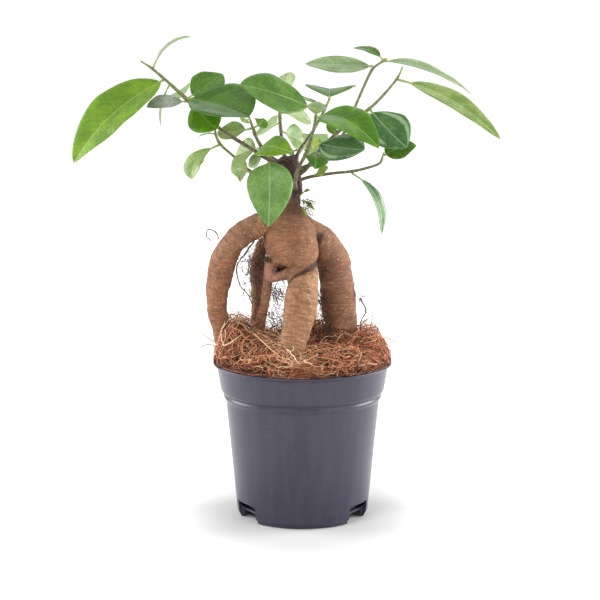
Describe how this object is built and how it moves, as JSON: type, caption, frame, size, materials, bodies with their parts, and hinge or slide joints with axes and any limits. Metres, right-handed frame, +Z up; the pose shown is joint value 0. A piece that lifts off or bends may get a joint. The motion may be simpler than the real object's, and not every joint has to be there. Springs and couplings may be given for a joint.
{
  "type": "bonsai tree in a pot",
  "caption": "Grafted ginseng fig with swollen bare roots, slim leafy shoots and a coconut-fibre topping, standing in a round tapered plastic nursery pot.",
  "frame": {"origin": "on the standing plane, under the middle of the pot's floor", "axes": "+Z up the plant, -Y towards the front, +X to the right as seen from the front"},
  "size_m": [0.2804, 0.1442, 0.3224],
  "materials": {
    "pot_plastic": "satin slate-grey injection-moulded plastic",
    "soil": "moist dark potting soil",
    "coir": "loose reddish-brown coconut fibre",
    "bark": "smooth matte bark with fine rings",
    "green_stem": "thin olive-green to brown shoot bark",
    "leaf_green": "waxy satin green",
    "fine_root": "matte dark hair root"
  },
  "bodies": {
    "root": {"aerial_root_curl": "fine_root", "aerial_root_left": "fine_root", "aerial_root_right": "fine_root", "branch_1": "green_stem", "branch_2": "green_stem", "branch_3": "green_stem", "branch_4": "green_stem", "branch_5": "green_stem", "branch_6": "green_stem", "branch_7": "green_stem", "branch_8": "green_stem", "branch_9": "green_stem", "coir_mulch": "coir", "leaf_back_high": "leaf_green", "leaf_back_low": "leaf_green", "leaf_back_round": "leaf_green", "leaf_back_striped": "leaf_green", "leaf_behind_middle": "leaf_green", "leaf_far_right": "leaf_green", "leaf_front": "leaf_green", "leaf_front_folded": "leaf_green", "leaf_left_dark": "leaf_green", "leaf_left_grey": "leaf_green", "leaf_left_high": "leaf_green", "leaf_left_large": "leaf_green", "leaf_left_point": "leaf_green", "leaf_left_small": "leaf_green", "leaf_left_under": "leaf_green", "leaf_left_wisp": "leaf_green", "leaf_low_left_droop": "leaf_green", "leaf_low_left_thin": "leaf_green", "leaf_low_middle_dark": "leaf_green", "leaf_low_right_end": "leaf_green", "leaf_low_right_hang": "leaf_green", "leaf_low_right_shoot": "leaf_green", "leaf_mid_left_grey": "leaf_green", "leaf_mid_left_little": "leaf_green", "leaf_mid_left_pale": "leaf_green", "leaf_mid_left_shoot": "leaf_green", "leaf_mid_left_upright": "leaf_green", "leaf_middle": "leaf_green", "leaf_node_bract": "leaf_green", "leaf_node_grey": "leaf_green", "leaf_rear_left": "leaf_green", "leaf_rear_low": "leaf_green", "leaf_rear_right": "leaf_green", "leaf_right_blue": "leaf_green", "leaf_right_bright": "leaf_green", "leaf_right_dark": "leaf_green", "leaf_right_inner": "leaf_green", "leaf_right_pair": "leaf_green", "leaf_top_large": "leaf_green", "leaf_top_pale": "leaf_green", "leaf_top_right": "leaf_green", "leaf_top_small": "leaf_green", "pot": "pot_plastic", "potting_soil": "soil", "root_trunk": "bark"}
  },
  "joints": []
}
